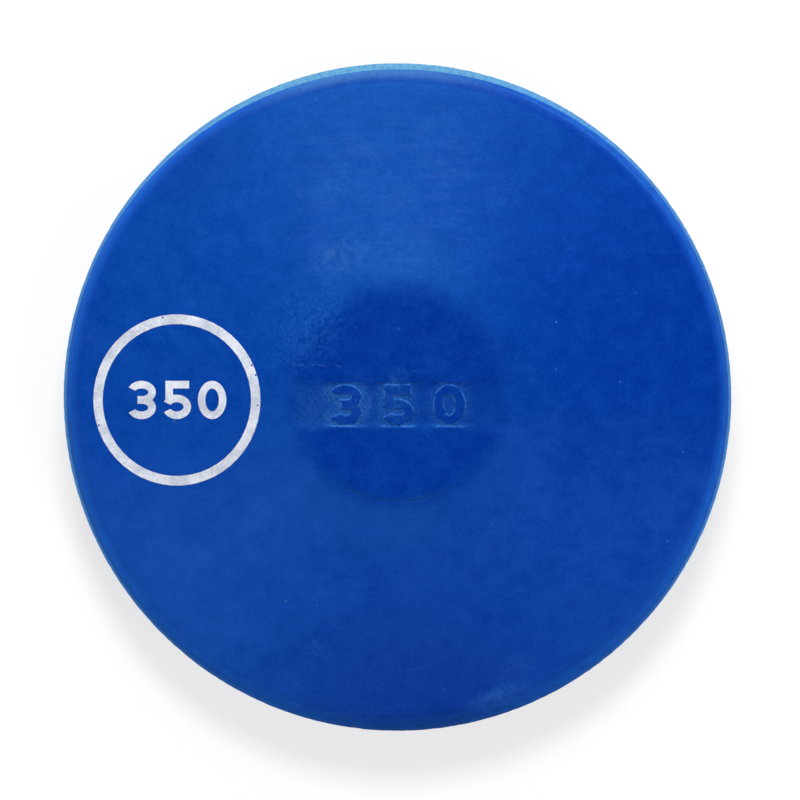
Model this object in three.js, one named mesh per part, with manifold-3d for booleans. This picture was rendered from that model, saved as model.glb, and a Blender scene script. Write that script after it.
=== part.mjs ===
// A moulded rubber throwing discus of 350 grams, in millimetres.
// The origin is the middle of the back flat. +Z points out of the numbered face and +Y is up on it.
import * as THREE from "three";
import { mergeVertices } from "three/addons/utils/BufferGeometryUtils.js";
import Module from "manifold-3d";

// Driving dimensions of the disc
const diameter = 147; // over the parting lip
const thickness = 29; // from the back flat to the front flat
const flatDiameter = 46.3; // level middle of a face, out to its corner with the flank
const flatCornerRadius = 14; // rounding of that corner
const rimRadius = 4.8; // rounding of the rim
const lipReach = 0.6; // trimmed parting lip, out beyond the rounded rim
const lipRootThickness = 1.2; // lip where it leaves the rim
const lipEdgeThickness = 0.6; // lip at its trimmed edge

// Driving dimensions of the inside
const coverThickness = 3; // blue cover over the core, on the flats and the flanks
const rimWall = 6; // solid blue rubber from the core's edge to the rounded rim
const bondGap = 0.1; // bond line between the core and the covers, where they don't touch

// Number panel in the front flat. Its figures stand up to the level of the flat.
const panelWidth = 45.8;
const panelHeight = 9.4;
const panelDepth = 0.3;
const panelDrop = 1.7; // panel's centre below the middle of the face
const mouldedFigure = { height: 8.9, width: 7, stroke: 2.2, space: 4.4 };

// Print on the front flank: a ring with the same number inside it
const ringRimMargin = 2.2; // clear flank between the ring and the rounded rim
const ringFlatMargin = 5.5; // clear flank between the ring and the rounded corner of the flat
const ringLine = 2.1; // width of the ring's line
const ringDrop = 0.65; // ring's centre below the middle of the face
const inkThickness = 0.15;
const inkClearance = 0.1; // between the ink and the rubber under it

// Fineness of the round shapes, and how far a cutting solid runs past what it cuts
const turnSegments = 96;
const rimSteps = 7;
const cornerSteps = 3;
const figureSteps = 7;
const ringSteps = 32;
const cutOverrun = 1;
const weldDistance = 1e-4;
const fullTurn = Math.PI * 2;

// The number, from left to right
const figureNames = ["three", "five", "zero"];

// Shares that shape the figures
const numberShare = 0.665; // width of the printed number, as a share of the clear width in its ring
const printedHeightShare = 1.31; // height of a printed figure, as a share of its width
const printedStrokeShare = 0.26; // its stroke, as a share of its width
const printedSpaceShare = 0.24; // space to the next one, as a share of its width
const bowlGapShare = 0.86; // where an open bowl ends, as a share of a half turn from its far side
const threeBarShare = 0.14; // middle bar of the 3, left of its centre, as a share of its width
const fiveBowlShare = 0.64; // height of the 5's bowl, as a share of the figure's height
const fiveLeftShare = 0.4; // left side of the 5's stem, as a share of its width
const fiveRightShare = 0.43; // right end of the 5's top bar, as a share of its width
const fiveStemShare = 0.01; // how far the 5's stem runs below the middle, as a share of its height

// Sizes of the disc that follow from those above. Heights are from the parting plane.
const outerRadius = diameter / 2;
const rimReach = outerRadius - lipReach;
const rimCentre = rimReach - rimRadius;
const flatRadius = flatDiameter / 2;
const faceHeight = thickness / 2;
const cornerToRim = Math.hypot(rimCentre - flatRadius, faceHeight);
const flankSlope = Math.atan2(faceHeight, rimCentre - flatRadius) - Math.asin(rimRadius / cornerToRim);
const flankEnd = rimCentre + rimRadius * Math.sin(flankSlope);
const cornerRun = flatCornerRadius * Math.tan(flankSlope / 2);
const flankStart = flatRadius + cornerRun * Math.cos(flankSlope);
const coreRadius = rimReach - rimWall;
const coreHeight = faceHeight - coverThickness;

// Sizes of the print, which fills the flank between its margins. The ring is round on the flank,
// so seen along the axis it is narrowed by the slope.
const flankNarrowing = Math.cos(flankSlope);
const ringRadius = (flankEnd - ringRimMargin - flankStart - ringFlatMargin) / 2 / flankNarrowing;
const ringCentre = (flankEnd - ringRimMargin + flankStart + ringFlatMargin) / 2;
const numberWidth = (ringRadius - ringLine) * 2 * numberShare;
const lastFigure = figureNames.length - 1;
const printedWidth = numberWidth / (figureNames.length + lastFigure * printedSpaceShare);
const printedFigure = {
  height: printedWidth * printedHeightShare,
  width: printedWidth,
  stroke: printedWidth * printedStrokeShare,
  space: printedWidth * printedSpaceShare,
};

// Height of the flank, or of a line laid along it at a depth under it
function flankHeight(radius, depth = 0) {
  return faceHeight - (radius - flatRadius) * Math.tan(flankSlope) - depth / Math.cos(flankSlope);
}

// Radius at which a line laid under the flank meets a level
function flankRadius(height, depth = 0) {
  const fall = faceHeight - height - depth / Math.cos(flankSlope);
  return flatRadius + fall / Math.tan(flankSlope);
}

// Points along a round corner, its angles measured from straight out
function arcPoints(centreRadius, centreHeight, radius, from, to, steps) {
  const points = [];
  for (let step = 0; step <= steps; step += 1) {
    const angle = from + ((to - from) * step) / steps;
    const across = centreRadius + radius * Math.cos(angle);
    points.push(new THREE.Vector2(across, centreHeight + radius * Math.sin(angle)));
  }
  return points;
}

// One vertex for each point of a closed mesh, without the collapsed triangles at its poles
function weld(geometry) {
  geometry.deleteAttribute("normal");
  geometry.deleteAttribute("uv");
  const welded = mergeVertices(geometry, weldDistance);
  const corners = welded.index.array;
  const kept = [];
  for (let first = 0; first < corners.length; first += 3) {
    const [a, b, c] = corners.slice(first, first + 3);
    if (a !== b && b !== c && c !== a) kept.push(a, b, c);
  }
  welded.setIndex(kept);
  return welded;
}

const wasm = await Module();
wasm.setup();

function toSolid(geometry) {
  const closed = weld(geometry);
  const vertProperties = Float32Array.from(closed.attributes.position.array);
  const triVerts = Uint32Array.from(closed.index.array);
  return new wasm.Manifold(new wasm.Mesh({ numProp: 3, vertProperties, triVerts }));
}

function toGeometry(solid) {
  const mesh = solid.getMesh();
  const geometry = new THREE.BufferGeometry();
  geometry.setAttribute("position", new THREE.BufferAttribute(mesh.vertProperties, 3));
  geometry.setIndex(new THREE.BufferAttribute(mesh.triVerts, 1));
  geometry.computeVertexNormals();
  return geometry;
}

// Turns a profile of radius and height about the disc's axis
function turn(profile) {
  return new THREE.LatheGeometry(profile, turnSegments).rotateX(Math.PI / 2);
}

// Upright prism of a flat outline, between two heights
function prism(shape, bottom, top, steps = 1) {
  const settings = { depth: top - bottom, bevelEnabled: false, curveSegments: steps };
  return toSolid(new THREE.ExtrudeGeometry(shape, settings).translate(0, 0, bottom));
}

function rectangle(left, bottom, right, top) {
  const corners = [[left, bottom], [right, bottom], [right, top], [left, top]];
  return new THREE.Shape(corners.map(([x, y]) => new THREE.Vector2(x, y)));
}

// Outline of half the disc from the middle of its flat to the parting plane
function outerProfile() {
  const cornerTop = flatRadius - cornerRun;
  const cornerCentre = faceHeight - flatCornerRadius;
  const upright = Math.PI / 2;
  const leaning = upright - flankSlope;
  const lipAngle = Math.asin(lipRootThickness / 2 / rimRadius);
  return [
    new THREE.Vector2(0, faceHeight),
    ...arcPoints(cornerTop, cornerCentre, flatCornerRadius, upright, leaning, cornerSteps),
    ...arcPoints(rimCentre, 0, rimRadius, leaning, lipAngle, rimSteps),
    new THREE.Vector2(outerRadius, lipEdgeThickness / 2),
    new THREE.Vector2(outerRadius, 0),
  ];
}

// Underside of a cover, from the parting plane up to the axis
function pocketProfile() {
  return [
    new THREE.Vector2(coreRadius, 0),
    new THREE.Vector2(coreRadius, flankHeight(coreRadius, coverThickness)),
    new THREE.Vector2(flankRadius(coreHeight, coverThickness), coreHeight),
    new THREE.Vector2(0, coreHeight),
  ];
}

// Half shell of blue rubber. The back one is the front one turned over, without its panel.
function coverGeometry(side) {
  const profile = [...outerProfile(), ...pocketProfile()].reverse();
  return side > 0 ? turn(profile) : turn(profile).rotateX(Math.PI);
}

// Solid core: it touches the covers on its flats and keeps the bond line elsewhere
function coreGeometry() {
  const depth = coverThickness + bondGap;
  const edge = coreRadius - bondGap;
  const topEdge = flankRadius(coreHeight, depth);
  const profile = [
    new THREE.Vector2(0, -coreHeight),
    new THREE.Vector2(topEdge, -coreHeight),
    new THREE.Vector2(edge, -flankHeight(edge, depth)),
    new THREE.Vector2(edge, flankHeight(edge, depth)),
    new THREE.Vector2(topEdge, coreHeight),
    new THREE.Vector2(0, coreHeight),
  ];
  return turn(profile);
}

// Part of an oval line, such as the bowl of a figure
function bowl(centreY, halfWidth, halfHeight, stroke, from, to) {
  const shape = new THREE.Shape();
  shape.absellipse(0, centreY, halfWidth, halfHeight, from, to, false);
  shape.absellipse(0, centreY, halfWidth - stroke, halfHeight - stroke, to, from, true);
  return shape;
}

// Whole oval line
function oval(halfWidth, halfHeight, stroke) {
  const shape = new THREE.Shape();
  shape.absellipse(0, 0, halfWidth, halfHeight, 0, fullTurn, false);
  const inside = new THREE.Path();
  inside.absellipse(0, 0, halfWidth - stroke, halfHeight - stroke, 0, fullTurn, true);
  shape.holes.push(inside);
  return shape;
}

function threeShapes({ height, width, stroke }) {
  const bowlHeight = (height + stroke) / 4;
  const bowlCentre = (height - stroke) / 4;
  const end = Math.PI * bowlGapShare;
  return [
    bowl(bowlCentre, width / 2, bowlHeight, stroke, -Math.PI / 2, end),
    bowl(-bowlCentre, width / 2, bowlHeight, stroke, -end, Math.PI / 2),
    rectangle(-width * threeBarShare, -stroke / 2, stroke / 2, stroke / 2),
  ];
}

function fiveShapes({ height, width, stroke }) {
  const bowlHeight = (height * fiveBowlShare) / 2;
  const left = -width * fiveLeftShare;
  const top = height / 2;
  const end = Math.PI * bowlGapShare;
  return [
    bowl(bowlHeight - top, width / 2, bowlHeight, stroke, -end, end),
    rectangle(left, -height * fiveStemShare, left + stroke, top),
    rectangle(left, top - stroke, width * fiveRightShare, top),
  ];
}

function zeroShapes({ height, width, stroke }) {
  return [oval(width / 2, height / 2, stroke)];
}

const figureShapes = { three: threeShapes, five: fiveShapes, zero: zeroShapes };

// Prism of one figure, set in its place in the number about the middle of the row
function figurePrism(name, size, bottom, top) {
  const parts = figureShapes[name](size).map((shape) => prism(shape, bottom, top, figureSteps));
  const whole = parts.reduce((joined, part) => joined.add(part));
  const place = figureNames.indexOf(name) - lastFigure / 2;
  return whole.translate([place * (size.width + size.space), 0, 0]);
}

// What the panel takes out of the front cover: its pocket, less the figures that stay
function panelCut() {
  const bottom = faceHeight - panelDepth;
  const top = faceHeight + cutOverrun;
  const outline = rectangle(-panelWidth / 2, -panelHeight / 2, panelWidth / 2, panelHeight / 2);
  let cut = prism(outline, bottom, top);
  for (const name of figureNames) {
    const figure = figurePrism(name, mouldedFigure, bottom - cutOverrun, top + cutOverrun);
    cut = cut.subtract(figure);
  }
  return cut.translate([0, -panelDrop, 0]);
}

function frontCoverGeometry() {
  return toGeometry(toSolid(coverGeometry(1)).subtract(panelCut()));
}

// Layer of ink over the whole flank, from which the print is cut
function inkLayer() {
  const under = -inkClearance;
  const over = -inkClearance - inkThickness;
  return toSolid(turn([
    new THREE.Vector2(flankStart, flankHeight(flankStart, under)),
    new THREE.Vector2(flankEnd, flankHeight(flankEnd, under)),
    new THREE.Vector2(flankEnd, flankHeight(flankEnd, over)),
    new THREE.Vector2(flankStart, flankHeight(flankStart, over)),
    new THREE.Vector2(flankStart, flankHeight(flankStart, under)),
  ]));
}

// Cuts a piece of the print out of the ink, at its place on the left of the face
function inkGeometry(piece) {
  const placed = piece.scale([flankNarrowing, 1, 1]).translate([-ringCentre, -ringDrop, 0]);
  return toGeometry(inkLayer().intersect(placed));
}

function printedRingGeometry() {
  return inkGeometry(prism(oval(ringRadius, ringRadius, ringLine), 0, faceHeight, ringSteps));
}

function printedFigureGeometry(name) {
  return inkGeometry(figurePrism(name, printedFigure, 0, faceHeight));
}

const blueRubber = new THREE.MeshStandardMaterial({ color: 0x053ca0, roughness: 0.55, metalness: 0 });
const coreRubber = new THREE.MeshStandardMaterial({ color: 0x2b2c2e, roughness: 0.85, metalness: 0 });
const whiteInk = new THREE.MeshStandardMaterial({ color: 0xe4e4ec, roughness: 0.45, metalness: 0 });

function addPiece(group, name, geometry, material) {
  const mesh = new THREE.Mesh(geometry, material);
  mesh.name = name;
  group.add(mesh);
}

// The pieces are made about the parting plane, and stand on the back flat
const disc = new THREE.Group();
disc.position.z = faceHeight;
addPiece(disc, "front_cover", frontCoverGeometry(), blueRubber);
addPiece(disc, "back_cover", coverGeometry(-1), blueRubber);
addPiece(disc, "rubber_core", coreGeometry(), coreRubber);
addPiece(disc, "printed_ring", printedRingGeometry(), whiteInk);
for (const name of figureNames) {
  addPiece(disc, `printed_${name}`, printedFigureGeometry(name), whiteInk);
}

const discus = new THREE.Group();
discus.add(disc);
export default discus;
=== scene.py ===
import math

import bmesh
import bpy
import numpy as np
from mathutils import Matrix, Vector
from mathutils.geometry import delaunay_2d_cdt


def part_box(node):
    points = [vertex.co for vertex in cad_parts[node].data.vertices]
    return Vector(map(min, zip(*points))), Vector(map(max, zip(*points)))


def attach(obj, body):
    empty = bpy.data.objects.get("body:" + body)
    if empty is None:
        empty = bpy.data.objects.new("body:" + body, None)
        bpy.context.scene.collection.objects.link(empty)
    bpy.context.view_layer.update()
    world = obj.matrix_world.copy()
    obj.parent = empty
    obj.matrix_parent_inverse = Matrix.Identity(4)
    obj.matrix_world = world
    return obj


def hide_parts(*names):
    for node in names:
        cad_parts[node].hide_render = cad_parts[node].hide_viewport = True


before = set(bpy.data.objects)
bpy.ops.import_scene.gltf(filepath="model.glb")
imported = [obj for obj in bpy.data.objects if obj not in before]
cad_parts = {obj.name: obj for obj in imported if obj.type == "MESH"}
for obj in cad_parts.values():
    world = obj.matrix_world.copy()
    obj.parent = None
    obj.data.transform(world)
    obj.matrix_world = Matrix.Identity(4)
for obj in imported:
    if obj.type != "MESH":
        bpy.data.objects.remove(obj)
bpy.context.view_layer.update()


# Core
# The disc is filled with plain dark rubber, pressed into a lens between the two blue covers.
# It is the CAD node itself, hidden inside, and it only gets the dull grain of this rubber.

core_dark = (0.018, 0.018, 0.020, 1)
core_light = (0.040, 0.040, 0.042, 1)
core_grain = (0.0012, 4, 0.5)
core_pitting = 0.0002
core_pitting_strength = 0.4
core_roughness = 0.85


def add_node(tree, kind, values=None, **settings):
    """Adds a node, sets its settings, and gives each input a value or a link."""
    made = tree.nodes.new(kind)
    for name, value in settings.items():
        setattr(made, name, value)
    for key, value in (values or {}).items():
        if isinstance(value, bpy.types.NodeSocket):
            tree.links.new(value, made.inputs[key])
        else:
            made.inputs[key].default_value = value
    return made


def noise(tree, where, size, detail, roughness):
    """Noise from 0 to 1 whose blotches are about size across, in metres. Each grain in this file
    holds these three: size, detail and roughness."""
    values = {"Vector": where, "Scale": 1.0 / size, "Detail": detail, "Roughness": roughness}
    return add_node(tree, "ShaderNodeTexNoise", values).outputs[0]


def mix(tree, share, first, second):
    """A colour that goes from the first to the second as share goes from 0 to 1. The node's
    colour inputs are 6 and 7, and its colour output is 2."""
    values = {0: share, 6: first, 7: second}
    return add_node(tree, "ShaderNodeMix", values, data_type="RGBA").outputs[2]


def bump(tree, height, strength, distance):
    values = {"Height": height, "Strength": strength, "Distance": distance}
    return add_node(tree, "ShaderNodeBump", values).outputs[0]


def new_material(name):
    material = bpy.data.materials.new(name)
    material.use_nodes = True
    tree = material.node_tree
    place = add_node(tree, "ShaderNodeTexCoord").outputs["Object"]
    return material, tree, tree.nodes["Principled BSDF"], place


core_material, tree, shader, place = new_material("core rubber")
grain = noise(tree, place, *core_grain)
tree.links.new(mix(tree, grain, core_dark, core_light), shader.inputs["Base Color"])
tree.links.new(bump(tree, grain, core_pitting_strength, core_pitting), shader.inputs["Normal"])
shader.inputs["Roughness"].default_value = core_roughness
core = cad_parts["rubber_core"]
core.data.materials.clear()
core.data.materials.append(core_material)


# Back cover
# The lower half of the blue skin, moulded in one dish with half of the rim. The mould's two
# halves meet at mid height, where the squeezed-out lip is trimmed off by hand.

low_corner, high_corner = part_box("front_cover")
outer_radius = high_corner.x
parting_height = low_corner.z
face_top = high_corner.z
half_height = face_top - parting_height
flat_radius = 0.02315
corner_rounding = 0.014
rim_rounding = 0.0048
lip_reach = 0.0006
lip_root = 0.0006
lip_edge = 0.0003
lip_margin = lip_reach / 30
edge_rounding = 0.0001
cover_thickness = 0.003
rim_wall = 0.006
middle_radius = 0.0248

rim_reach = outer_radius - lip_reach
rim_centre = rim_reach - rim_rounding
corner_to_rim = math.hypot(rim_centre - flat_radius, half_height)
slope = math.atan2(half_height, rim_centre - flat_radius) - math.asin(rim_rounding / corner_to_rim)
flank_end = rim_centre + rim_rounding * math.sin(slope)
corner_run = corner_rounding * math.tan(slope / 2)
flank_start = flat_radius + corner_run * math.cos(slope)
pocket_radius = rim_reach - rim_wall
pocket_height = half_height - cover_thickness

trim_direction = math.radians(94)
trim_full_angle = math.radians(9)
trim_end_angle = math.radians(60)
trim_depth = 0.0007
trim_from = 0.0661
chip_depth = 0.00009
chip_size = 0.009
chip_detail = 3
chip_range = (0.35, 0.75)

round_steps = 480
flank_count = 26
middle_count = 28
rim_steps = 18
edge_steps = 3
parting_count = 3
pocket_floor_count = 4
pocket_flank_count = 6
weld_distance = 1e-6
back_sharp_angle = math.radians(35)


def arc(centre, radius, start, end, steps):
    """Points round a corner. Angles are from straight out, and heights from the parting plane."""
    angles = np.linspace(start, end, steps + 1)
    return [(centre[0] + radius * math.cos(a), centre[1] + radius * math.sin(a)) for a in angles]


def face_height(radius):
    """Height of the face above the parting plane, from the middle to the end of the flank."""
    radius = np.asarray(radius, float)
    corner_inner = flat_radius - corner_run
    inside = np.clip(radius - corner_inner, 0, flank_start - corner_inner)
    rounded = half_height - corner_rounding + np.sqrt(corner_rounding ** 2 - inside ** 2)
    flank = half_height - (radius - flat_radius) * math.tan(slope)
    return np.where(radius > flank_start, flank, rounded)


def pocket_line(radius):
    return half_height - (radius - flat_radius) * math.tan(slope) - cover_thickness / math.cos(slope)


def cover_profile(whole):
    """Half section of a cover, from the axis under its pocket, round the rim and in over the face.
    Unless it is whole, it stops where the level middle begins."""
    pocket_corner = flat_radius - cover_thickness * math.tan(slope / 2)
    pocket = [(r, pocket_height) for r in np.linspace(0, pocket_corner, pocket_floor_count)]
    pocket_flank = np.linspace(pocket_corner, pocket_radius, pocket_flank_count)[1:]
    pocket += [(r, pocket_line(r)) for r in pocket_flank]
    edge_radius = outer_radius - edge_rounding
    parting = [(r, 0.0) for r in np.linspace(pocket_radius, edge_radius, parting_count)]
    edge = arc((edge_radius, edge_rounding), edge_rounding, -math.pi / 2, 0, edge_steps)
    top = (edge_radius, lip_edge - edge_rounding)
    edge += arc(top, edge_rounding, 0, math.pi / 2, edge_steps)
    lip_angle = math.asin(lip_root / rim_rounding)
    rim = arc((rim_centre, 0), rim_rounding, lip_angle, math.pi / 2 - slope, rim_steps)
    flank = np.linspace(flank_end, middle_radius, flank_count)[1:]
    middle = np.linspace(middle_radius, 0, middle_count)[1:] if whole else []
    face = [(r, float(face_height(r))) for r in (*flank, *middle)]
    return pocket + parting + edge[1:] + rim + face


def calc(tree, operation, *values):
    """The result of one sum on numbers or sockets."""
    return add_node(tree, "ShaderNodeMath", dict(enumerate(values)), operation=operation).outputs[0]


def product(tree, first, *others):
    for other in others:
        first = calc(tree, "MULTIPLY", first, other)
    return first


def ramp(tree, value, low, high, start=0.0, end=1.0):
    """A smooth step from start to end, as value goes from low to high."""
    values = {0: value, 1: low, 2: high, 3: start, 4: end}
    return add_node(tree, "ShaderNodeMapRange", values, interpolation_type="SMOOTHSTEP").outputs[0]


# The numbers that the turning below takes, the same for both covers.
turning_sizes = {
    "Round steps": round_steps, "Trim from": trim_from, "Lip from": rim_reach + lip_margin,
    "Trim depth": trim_depth, "Trim direction": trim_direction,
    "Trim full angle": trim_full_angle, "Trim end angle": trim_end_angle,
    "Chip depth": chip_depth, "Chip size": chip_size,
}


def turning_tree():
    """Turns a half section round the axis. Over part of the rim the trimming has cut further in,
    which leaves a wider lip there, and the lip's edge is left ragged all round."""
    tree = bpy.data.node_groups.new("Turned cover", "GeometryNodeTree")
    tree.is_modifier = True
    new_socket = tree.interface.new_socket
    new_socket("Geometry", in_out="INPUT", socket_type="NodeSocketGeometry")
    for name, value in turning_sizes.items():
        kind = "NodeSocketInt" if isinstance(value, int) else "NodeSocketFloat"
        new_socket(name, in_out="INPUT", socket_type=kind)
    new_socket("Material", in_out="INPUT", socket_type="NodeSocketMaterial")
    new_socket("Geometry", in_out="OUTPUT", socket_type="NodeSocketGeometry")
    given = tree.nodes.new("NodeGroupInput").outputs

    section = {"Geometry": given["Geometry"]}
    count = add_node(tree, "GeometryNodeAttributeDomainSize", section).outputs[0]
    across = calc(tree, "ADD", given["Round steps"], 1)
    values = {"Size X": 1.0, "Size Y": 1.0, "Vertices X": across, "Vertices Y": count}
    grid = add_node(tree, "GeometryNodeMeshGrid", values).outputs[0]
    index = add_node(tree, "GeometryNodeInputIndex").outputs[0]
    along = calc(tree, "FLOORED_MODULO", index, count)
    turn = calc(tree, "FLOOR", calc(tree, "DIVIDE", calc(tree, "ADD", index, 0.5), count))
    angle = calc(tree, "MULTIPLY", calc(tree, "DIVIDE", turn, given["Round steps"]), 2 * math.pi)
    values = {
        "Geometry": given["Geometry"], "Index": along,
        "Value": add_node(tree, "GeometryNodeInputPosition").outputs[0],
    }
    sample = add_node(tree, "GeometryNodeSampleIndex", values, data_type="FLOAT_VECTOR", domain="POINT")
    radius, _, height = add_node(tree, "ShaderNodeSeparateXYZ", {0: sample.outputs[0]}).outputs

    cosine, sine = calc(tree, "COSINE", angle), calc(tree, "SINE", angle)
    offset = calc(tree, "SUBTRACT", angle, given["Trim direction"])
    apart = calc(tree, "ABSOLUTE", calc(tree, "WRAP", offset, math.pi, -math.pi))
    trimmed = ramp(tree, apart, given["Trim full angle"], given["Trim end angle"], 1.0, 0.0)
    on_rim = ramp(tree, radius, given["Trim from"], given["Lip from"])
    on_lip = calc(tree, "GREATER_THAN", radius, given["Lip from"])
    off_lip = calc(tree, "SUBTRACT", 1.0, on_lip)
    trim = product(tree, trimmed, on_rim, off_lip, given["Trim depth"])
    around = add_node(tree, "ShaderNodeCombineXYZ", {"X": cosine, "Y": sine}).outputs[0]
    fineness = calc(tree, "DIVIDE", 1.0, given["Chip size"])
    values = {"Vector": around, "Detail": chip_detail, "Scale": fineness}
    chips = add_node(tree, "ShaderNodeTexNoise", values).outputs[0]
    chip = product(tree, ramp(tree, chips, *chip_range), on_lip, given["Chip depth"])
    reach = calc(tree, "SUBTRACT", calc(tree, "SUBTRACT", radius, trim), chip)

    values = {"X": product(tree, reach, cosine), "Y": product(tree, reach, sine), "Z": height}
    turned = add_node(tree, "ShaderNodeCombineXYZ", values).outputs[0]
    shaped = add_node(tree, "GeometryNodeSetPosition", {"Geometry": grid, "Position": turned})
    values = {"Geometry": shaped.outputs[0], "Distance": weld_distance}
    closed = add_node(tree, "GeometryNodeMergeByDistance", values)
    smooth = add_node(tree, "GeometryNodeSetShadeSmooth", {"Geometry": closed.outputs[0]})
    real = add_node(tree, "GeometryNodeRealizeInstances", {"Geometry": smooth.outputs[0]})
    values = {"Geometry": real.outputs[0], "Material": given["Material"]}
    finish = add_node(tree, "GeometryNodeSetMaterial", values)
    add_node(tree, "NodeGroupOutput", {"Geometry": finish.outputs[0]})
    return tree


turned_cover = turning_tree()


def turn_cover(name, side, whole, material):
    """One cover's turned surface. side is 1 for the front and -1 for the back, whose section runs
    the other way, so that its faces point outwards too."""
    points = [(r, 0.0, parting_height + side * z) for r, z in cover_profile(whole)][::side]
    section = bpy.data.meshes.new(name + "_section")
    section.from_pydata(points, [(i, i + 1) for i in range(len(points) - 1)], [])
    source = bpy.data.objects.new(name + "_section", section)
    bpy.context.scene.collection.objects.link(source)
    modifier = source.modifiers.new("Turn", "NODES")
    modifier.node_group = turned_cover
    chosen = {**turning_sizes, "Material": material}
    for item in turned_cover.interface.items_tree:
        if item.in_out == "INPUT" and item.name in chosen:
            modifier[item.identifier] = chosen[item.name]
    bpy.context.view_layer.update()
    depsgraph = bpy.context.evaluated_depsgraph_get()
    mesh = bpy.data.meshes.new_from_object(source.evaluated_get(depsgraph))
    mesh.name = name
    source.modifiers.clear()
    bpy.data.objects.remove(source)
    return mesh


def show(name, mesh):
    """Puts a finished mesh in the scene."""
    piece = bpy.data.objects.new(name, mesh)
    bpy.context.scene.collection.objects.link(piece)
    return piece


def points_of(mesh):
    flat = np.zeros(len(mesh.vertices) * 3, np.float32)
    mesh.vertices.foreach_get("co", flat)
    return flat.reshape(-1, 3).astype(float)


def store(mesh, name, values):
    attribute = mesh.attributes.new(name, "FLOAT", "POINT")
    attribute.data.foreach_set("value", np.asarray(values, np.float32))


def soft_step(value, start, end):
    """A smooth step from 0 to 1, as value goes from start to end, up or down."""
    share = np.clip((value - start) / (end - start), 0, 1)
    return share * share * (3 - 2 * share)


# Wear of the rim, and light painted on it. Turns are in degrees, either way round from the middle of the
# trimmed stretch.
rim_light_start = 0.0033
rim_light_full = 0.0010
rim_light_at_top = 0.20
rim_light_gain_beside = 0.29
beside_turns = (10, 32)
rim_light_gain_below = 0.46
below_turns = (92, 120)
rim_light_loss_at_foot = 0.50
foot_turns = (150, 176)
early_rim_light = 0.14
early_rim_light_start = 0.0044
early_rim_light_full = 0.0034

pale_lip = 0.12
pale_upper_lip = 0.36
upper_turns = (168, 100)
pale_trimmed_lip = 0.48
lip_slack = 0.00008
lip_height = lip_root * 1.3
# The shoulder's share is a painted highlight on the rounded rim near the top.
shoulder_highlight = 0.03
top_shoulder_highlight = 0.31
shoulder_turns = (28, 6)
shoulder_start = 0.0038
shoulder_full = 0.0008
pale_brim = 0.09
brim_width = 0.0016
pale_line = 0.13
trim_line_inset = 0.0014
trim_line_width = 0.0002
trim_line_start_turns = (12, 22)
trim_line_end_turns = (68, 50)


def turn_step(turn, turns):
    """A smooth step from 0 to 1, as turn goes from the first to the second of two turns."""
    return soft_step(turn, math.radians(turns[0]), math.radians(turns[1]))


def reach_and_turn(points):
    """How far out each point is, and how far round it is from the middle of the trimmed stretch."""
    turn = np.arctan2(points[:, 1], points[:, 0]) - trim_direction
    return np.hypot(points[:, 0], points[:, 1]), np.abs((turn + math.pi) % (2 * math.pi) - math.pi)


# Painted light: the rim's colour is lifted where it turns from the lamps and lies in shade.
def rim_painted_light(points):
    """How much lighter the rim is painted over its rounded last millimetres: painted light that lifts
    the shade where the rim turns from the lamps, most to the lower left and right, less at the foot, and
    least at the top. A weaker share further in, below, paints light over a darker band."""
    reach, turn = reach_and_turn(points)
    below = turn_step(turn, below_turns)
    amount = rim_light_at_top + rim_light_gain_beside * turn_step(turn, beside_turns)
    amount += rim_light_gain_below * below
    amount -= rim_light_loss_at_foot * turn_step(turn, foot_turns)
    full = amount * soft_step(reach, outer_radius - rim_light_start, outer_radius - rim_light_full)
    early = early_rim_light * amount * below
    early *= soft_step(reach, outer_radius - early_rim_light_start, outer_radius - early_rim_light_full)
    return full + early * (1 - full)


def rim_wear_and_highlight(points):
    """Where cut rubber shows pale: the wide lip most, the rest of the lip less and more towards the top,
    the brim towards the top, and a line that the knife left to the right of the top. The shoulder inside
    the trimmed stretch gets a painted highlight, strongest near the top."""
    reach, turn = reach_and_turn(points)
    upper = turn_step(turn, upper_turns)
    trimmed = soft_step(turn, trim_end_angle, trim_full_angle)
    on_lip = (reach > rim_reach - trim_depth * trimmed - lip_slack).astype(float)
    on_lip *= np.abs(points[:, 2] - parting_height) < lip_height
    lip = on_lip * (pale_lip + pale_upper_lip * upper + pale_trimmed_lip * trimmed)
    # Painted highlight on the shoulder, strongest near the top.
    shoulder = soft_step(reach, rim_reach - shoulder_start, rim_reach - shoulder_full) * trimmed
    shoulder *= shoulder_highlight + top_shoulder_highlight * turn_step(turn, shoulder_turns)
    brim = pale_brim * upper * soft_step(reach, rim_reach - brim_width, rim_reach)
    line = np.exp(-((reach - rim_reach + trim_line_inset) / trim_line_width) ** 2)
    line *= turn_step(turn, trim_line_start_turns) * (points[:, 0] > 0)
    line *= turn_step(turn, trim_line_end_turns)
    return np.maximum.reduce([lip, shoulder, brim, pale_line * line])


# Blue rubber's colours. Each spread is a ramp over noise: low, high, and what they become.
flank_blue = (0.0000, 0.0368, 0.337, 1)
flat_blue = (0.0000, 0.0322, 0.303, 1)
inner_bloom = (0.0006, 0.0065, 0.0000)
# Painted sheen: the next two films stand in for the lamps' haze on the left and lower flank.
left_sheen_film = (0.0022, 0.0175, 0.0290)
low_sheen_film = (0.0043, 0.0140, 0.0486)
grain_tint = (0.0120, 0.0650, 0.2150)
# Streaks, whose film also paints the top lamp's highlight.
streak_and_highlight_tint = (0.0065, 0.0105, 0.0160)
# The colour of the painted light on the rim's shaded turn.
rim_light_blue = (0.012, 0.156, 0.800, 1)
# Pale cut rubber, and painted highlight on the rim's shoulder and over the top of the flank.
worn_and_highlight_blue = (0.165, 0.450, 0.660, 1)
dust_grey = (0.045, 0.235, 0.500, 1)
# Pale chalk for scratches, and for lines round the relief that also paint light on its walls.
chalk_and_highlight_blue = (0.055, 0.240, 0.680, 1)
grime_green = (0.008, 0.058, 0.200, 1)
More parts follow.
